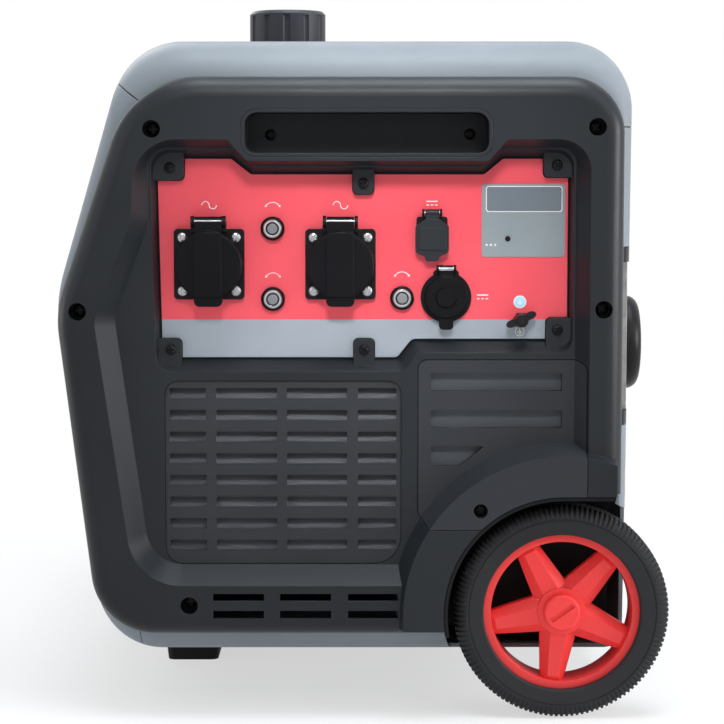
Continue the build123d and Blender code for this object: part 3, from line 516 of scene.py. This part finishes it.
def cross_head(radius, height):
    """Domed head with its top towards the front at y = 0 and its seat at y = height."""
    dome = [(radius * across, height * down) for across, down in HEAD_DOME]
    points, faces = lathe(0, 0, dome, HEAD_SIDES)
    rows = len(dome)
    faces.append([i * rows for i in range(HEAD_SIDES)])
    faces.append([i * rows + rows - 1 for i in range(HEAD_SIDES - 1, -1, -1)])
    head = temporary(points, faces)
    long = radius * RECESS_LONG
    thin = radius * RECESS_THIN
    for wide, tall in ((long, thin), (thin, long)):
        outline = [(-wide, -tall), (wide, -tall), (wide, tall), (-wide, tall)]
        cut = head.modifiers.new("recess", "BOOLEAN")
        cut.object = temporary(*slab(outline, RECESS_FRONT, height * RECESS_DEEP))
        cut.operation = "DIFFERENCE"
        cut.solver = "EXACT"
    shaped = bpy.data.meshes.new_from_object(head.evaluated_get(bpy.context.evaluated_depsgraph_get()))
    points = [tuple(v.co) for v in shaped.vertices]
    faces = [list(p.vertices) for p in shaped.polygons]
    for cut in list(head.modifiers):
        bpy.data.objects.remove(cut.object)
    bpy.data.objects.remove(head)
    return points, faces


def placed(shape, x, y, z, turn, rear=False):
    """A screw head at its place, turned about its axis, and facing the rear if asked."""
    angle = math.radians(turn)
    points = []
    for px, py, pz in shape[0]:
        rx = px * math.cos(angle) - pz * math.sin(angle)
        rz = px * math.sin(angle) + pz * math.cos(angle)
        points.append((x + rx, y - py if rear else y + py, z + rz))
    faces = [face[::-1] for face in shape[1]] if rear else shape[1]
    return points, faces


def screw_row(head, spots, y, rear=False):
    """The same head at every spot, each turned further than the one before."""
    return [placed(head, x, y, z, GOLDEN_TURN * i, rear) for i, (x, z) in enumerate(spots)]


screw_steps = (-SOCKET_SCREW, SOCKET_SCREW)
socket_spots = [(x + a, z + b) for x, z in SOCKETS for a in screw_steps for b in screw_steps]
shapes = screw_row(cross_head(*SOCKET_HEAD), socket_spots, SOCKET_HEAD_Y)
heads = piece("socket_screw_heads", "case", BRIGHT, joined(shapes), HEAD_SMOOTH)
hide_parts("socket_screws")

shapes = screw_row(cross_head(*PANEL_HEAD), PANEL_SPOTS, PANEL_HEAD_Y)
heads = piece("panel_screw_heads", "case", BLACK_STEEL, joined(shapes), HEAD_SMOOTH)
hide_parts("panel_screws")

cover_head = cross_head(*COVER_HEAD)
cup_head = cross_head(*CUP_HEAD)
shapes = [placed(cross_head(*DOOR_HEAD), *DOOR_HEAD_PLACE, DOOR_HEAD_TURN)]
for rear in (False, True):
    side = 1 if rear else -1
    shapes += screw_row(cover_head, COVER_SPOTS, side * COVER_HEAD_Y, rear)
    shapes += screw_row(cup_head, CUP_SPOTS, side * CUP_HEAD_Y, rear)
heads = piece("cover_screw_heads", "case", BLACK_STEEL, joined(shapes), HEAD_SMOOTH)
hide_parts("cover_screws")

# Bright rings round the breaker buttons, as (radius, y)
RING = [(4.3, -258.3), (4.3, -260.2), (4.8, -260.9), (6.0, -260.9), (6.6, -260.1), (6.6, -258.3),
        (4.3, -258.3)]
RING_SIDES = 48
RING_SMOOTH = 30
rings = joined([lathe(x, z, RING, RING_SIDES) for x, z in BREAKERS])
piece("breaker_rings", "case", BRIGHT, rings, RING_SMOOTH)

# Bright metal strips over the hinges of the lids: a painted highlight, standing in for the sheen of light
# on the glossy black hinges
STRIP_START = -35
STRIP_SWEEP = 50
STRIP_STEPS = 8
STRIP_SMOOTH = 30
LID_HINGE_Y = -263.5
LID_HINGE_LIFT = 30.5
LID_STRIP = (9.5, 3.35, 3.75)  # half length, inner and outer radius
DC_HINGE = (59.8, -260, 321.7)
DC_STRIP = (4.9, 2.25, 2.55)


def hinge_highlight_strip(x, y, z, half, inner, outer):
    """Curved bright strip in front of a hinge that runs along X, a painted highlight on the hinge."""
    points = []
    for i in range(STRIP_STEPS + 1):
        turn = math.radians(STRIP_START + STRIP_SWEEP * i / STRIP_STEPS)
        for radius in (inner, outer):
            for edge in (-half, half):
                points.append((x + edge, y - radius * math.cos(turn), z + radius * math.sin(turn)))
    faces = [[0, 1, 3, 2]]
    for i in range(STRIP_STEPS):
        a = 4 * i
        for p, q in ((0, 2), (2, 3), (3, 1), (1, 0)):
            faces.append([a + p, a + q, a + 4 + q, a + 4 + p])
    last = 4 * STRIP_STEPS
    faces.append([last, last + 2, last + 3, last + 1])
    return points, faces


for (x, z), body in zip(SOCKETS, ("left_lid", "right_lid")):
    strip = hinge_highlight_strip(x, LID_HINGE_Y, z + LID_HINGE_LIFT, *LID_STRIP)
    piece(body + "_hinge_highlight", body, BRIGHT, strip, STRIP_SMOOTH)
strip = hinge_highlight_strip(*DC_HINGE, *DC_STRIP)
piece("dc_flap_hinge_highlight", "dc_flap", BRIGHT, strip, STRIP_SMOOTH)

# Dark foam with an egg-crate face, inside the right end behind the warm-air slots: a dark sheet put there
# for shade, which blocks the lamps' light through the vents and keeps the slots dark
FOAM_BACK_X = 180.0
FOAM_FACE_X = 185.5
FOAM_WAVE = 1.5
FOAM_PERIOD = 18.0
FOAM_STEP = 3.0
FOAM_LOW = (44.0, 184.0)
FOAM_COUNT = (44, 50)
FOAM_SMOOTH = 40


def egg_foam():
    columns, rows = FOAM_COUNT
    front = []
    for i in range(columns + 1):
        for j in range(rows + 1):
            y = FOAM_LOW[0] + FOAM_STEP * i
            z = FOAM_LOW[1] + FOAM_STEP * j
            wave = math.sin(2 * math.pi * y / FOAM_PERIOD) * math.sin(2 * math.pi * z / FOAM_PERIOD)
            front.append((FOAM_FACE_X + FOAM_WAVE * wave, y, z))
    points = front + [(FOAM_BACK_X, y, z) for x, y, z in front]
    pitch = rows + 1
    back = len(front)
    faces = []
    for i in range(columns):
        for j in range(rows):
            a = i * pitch + j
            quad = [a, a + pitch, a + pitch + 1, a + 1]
            faces.append(quad)
            faces.append([back + k for k in quad[::-1]])
    rim = [i * pitch for i in range(columns)] + [columns * pitch + j for j in range(rows)]
    rim += [i * pitch + rows for i in range(columns, 0, -1)] + list(range(rows, 0, -1))
    for a, b in zip(rim, rim[1:] + rim[:1]):
        faces.append([b, a, back + a, back + b])
    return points, faces


piece("vent_shade_foam", "case", LINER, egg_foam(), FOAM_SMOOTH)

# Prints on the panel: turn arrows over the breakers, supply signs and earth signs
PRINT_LIFT = 0.12
OVERPRINT_LIFT = 0.14
PRINT_SINK = 0.05
ARROW_LIFT = 12.5
ARROW_R = 6
ARROW_WIDTH = 0.55
ARROW_ENDS = ((38, -58), (142, 238))  # turn and heading of each end
ARROW_SIZE = 1.4
ARROW_SPREAD = 0.7
WAVE_LIFT = 41.8
WAVE_R = 2.6
WAVE_WIDTH = 0.65
WAVE_STEPS = 16
DIRECT_SIGNS = [(49.7, 367.8), (86, 301.2)]
BAR_HALF = 4
BAR_LOW = 0.9
BAR_HIGH = 1.7
BAR_CORNER = 0.2
DASH_PITCH = 3
DASH_HALF = 1
EARTH_DISC = (112.6, 297.6)
EARTH_DISC_R = 4.6
EARTH_SPOT_R = 3.9
EARTH_SPOT_LIFT = 0.2
EARTH_DISC_LIFT = 0.3
EARTH_SIGN = (112.6, 276.5)
EARTH_RING_R = 3.2
EARTH_RING_WIDTH = 0.5
EARTH_RING_STEPS = 36
STEM_HALF = 0.25
STEM_TALL = 2.2
EARTH_ROWS = (2.0, 1.3, 0.6)
ROW_PITCH = 0.9
ROW_TALL = 0.5
ROW_CORNER = 0.1
CIRCLE_SIDES = 40


def round_rectangle(left, right, low, high, radius, steps=6):
    points = []
    for cx, cz, start in ((right - radius, high - radius, 0), (left + radius, high - radius, 90),
                          (left + radius, low + radius, 180), (right - radius, low + radius, 270)):
        for i in range(steps + 1):
            turn = math.radians(start + 90 * i / steps)
            points.append((cx + radius * math.cos(turn), cz + radius * math.sin(turn)))
    return points


def circle(cx, cz, radius):
    turns = [2 * math.pi * i / CIRCLE_SIDES for i in range(CIRCLE_SIDES)]
    return [(cx + radius * math.cos(t), cz + radius * math.sin(t)) for t in turns]


def arc_ribbon(cx, cz, radius, width, start, end, steps=20):
    turns = [math.radians(start + (end - start) * i / steps) for i in range(steps + 1)]
    outer_r = radius + width / 2
    inner_r = radius - width / 2
    outer = [(cx + outer_r * math.cos(t), cz + outer_r * math.sin(t)) for t in turns]
    inner = [(cx + inner_r * math.cos(t), cz + inner_r * math.sin(t)) for t in turns]
    return outer + inner[::-1]


def arrow_head(x, z, heading):
    turn = math.radians(heading)
    along = Vector((math.cos(turn), math.sin(turn)))
    side = Vector((-along.y, along.x))
    tip = Vector((x, z)) + along * ARROW_SIZE
    left = Vector((x, z)) + side * ARROW_SIZE * ARROW_SPREAD
    right = Vector((x, z)) - side * ARROW_SIZE * ARROW_SPREAD
    return [tuple(tip), tuple(left), tuple(right)]


def printed(outline, lift=PRINT_LIFT):
    """Thin print on the panel."""
    return slab(outline, PANEL_FACE_Y - lift, PANEL_FACE_Y + PRINT_SINK)


def turn_arrow(x, z):
    start, end = [turn for turn, heading in ARROW_ENDS]
    shapes = [printed(arc_ribbon(x, z, ARROW_R, ARROW_WIDTH, start, end))]
    for turn, heading in ARROW_ENDS:
        angle = math.radians(turn)
        head = arrow_head(x + ARROW_R * math.cos(angle), z + ARROW_R * math.sin(angle), heading)
        shapes.append(printed(head, OVERPRINT_LIFT))
    return shapes


def wave_sign(x, z):
    upper = arc_ribbon(x - WAVE_R, z, WAVE_R, WAVE_WIDTH, 180, 0, WAVE_STEPS)
    lower = arc_ribbon(x + WAVE_R, z, WAVE_R, WAVE_WIDTH, 180, 360, WAVE_STEPS)
    return [printed(upper[::-1]), printed(lower, OVERPRINT_LIFT)]


def direct_sign(x, z):
    bars = [round_rectangle(x - BAR_HALF, x + BAR_HALF, z + BAR_LOW, z + BAR_HIGH, BAR_CORNER)]
    for step in (-1, 0, 1):
        left = x + DASH_PITCH * step - DASH_HALF
        right = x + DASH_PITCH * step + DASH_HALF
        bars.append(round_rectangle(left, right, z - BAR_HIGH, z - BAR_LOW, BAR_CORNER))
    return [printed(bar) for bar in bars]


def earth_sign(x, z, lift):
    bars = [round_rectangle(x - STEM_HALF, x + STEM_HALF, z, z + STEM_TALL, ROW_CORNER)]
    for i, half in enumerate(EARTH_ROWS):
        low = z - ROW_PITCH * i - ROW_TALL
        bars.append(round_rectangle(x - half, x + half, low, low + ROW_TALL, ROW_CORNER))
    return [printed(bar, lift) for bar in bars]


signs = []
for x, z in BREAKERS:
    signs += turn_arrow(x, z + ARROW_LIFT)
for x, z in SOCKETS:
    signs += wave_sign(x, z + WAVE_LIFT)
for x, z in DIRECT_SIGNS:
    signs += direct_sign(x, z)
piece("panel_signs", "case", PRINT_WHITE, joined(signs))

ring = arc_ribbon(*EARTH_SIGN, EARTH_RING_R, EARTH_RING_WIDTH, 0, 360, EARTH_RING_STEPS)
signs = [printed(circle(*EARTH_DISC, EARTH_DISC_R)), printed(ring)]
signs += earth_sign(*EARTH_DISC, EARTH_DISC_LIFT) + earth_sign(*EARTH_SIGN, PRINT_LIFT)
piece("earth_disc", "case", PRINT_WHITE, joined(signs))
spot = printed(circle(*EARTH_DISC, EARTH_SPOT_R), EARTH_SPOT_LIFT)
piece("earth_spot", "case", PRINT_BLUE, spot)

# Bare information plate with a dark indicator and three dots
PLATE = (85, 144.5, 329.6, 381.4, 2.5)  # left, right, low, high, corner radius
PLATE_LIFT = 0.35
LINE = (88, 142.3, 361.6, 380.0, 2.0)
LINE_LIFT = 0.45
WINDOW = (88.6, 141.7, 362.2, 379.4, 1.6)
WINDOW_LIFT = 0.55
DOTS_X = (88.6, 91.6, 94.6)
DOTS_Z = 338.2
DOT = [(0.05, -254.9), (0.7, -254.8), (0.9, -254.3)]  # radius, y
DOT_SIDES = 16
INDICATOR_PLACE = (103.7, 342.6)
INDICATOR = [(0.05, -256.0), (1.5, -255.9), (1.9, -255.4), (2.0, -254.3)]  # radius, y
INDICATOR_SIDES = 24
DOT_SMOOTH = 40
piece("information_plate", "case", PLATE_GREY, printed(round_rectangle(*PLATE), PLATE_LIFT))
piece("plate_line", "case", PRINT_WHITE, printed(round_rectangle(*LINE), LINE_LIFT))
piece("plate_window", "case", PLATE_DARK, printed(round_rectangle(*WINDOW), WINDOW_LIFT))
dots = joined([lathe(x, DOTS_Z, DOT, DOT_SIDES) for x in DOTS_X])
piece("plate_dots", "case", PRINT_WHITE, dots, DOT_SMOOTH)
indicator = lathe(*INDICATOR_PLACE, INDICATOR, INDICATOR_SIDES)
piece("plate_indicator", "case", SOCKET, indicator, DOT_SMOOTH)
